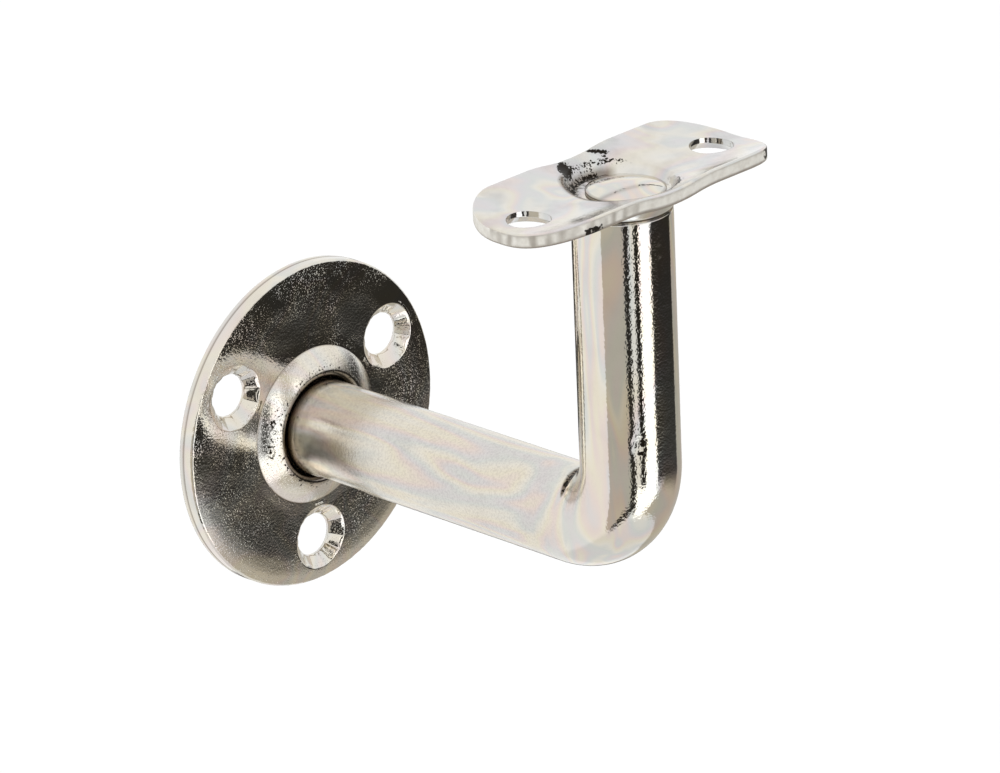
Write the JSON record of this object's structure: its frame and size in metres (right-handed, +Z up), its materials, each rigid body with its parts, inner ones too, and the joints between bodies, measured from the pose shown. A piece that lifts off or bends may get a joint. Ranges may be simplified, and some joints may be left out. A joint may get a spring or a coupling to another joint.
{
  "type": "handrail bracket",
  "caption": "Wall bracket for a handrail: a round wall plate, a bent round bar riveted through it, and a trough-shaped saddle that is screwed up into the underside of the rail.",
  "frame": {"origin": "centre of the wall plate's rim, on the plane of the wall that the rim rests on", "axes": "-Y out of the wall along the arm's lower run, +Z up along the arm's upright leg, X along the rail; the wall is the plane y = 0"},
  "size_m": [0.048, 0.075, 0.077],
  "materials": {
    "wall_plate": "bright electroplated steel with a fine orange-peel grain and a faint rainbow tint",
    "arm": "bright electroplated steel, mirror to satin, with a faint pink and yellow tint",
    "saddle": "bright electroplated steel, satin on top, with hammer marks round the rivet"
  },
  "bodies": {
    "root": {"wall_plate": "wall_plate", "arm": "arm", "saddle": "saddle"}
  },
  "joints": []
}
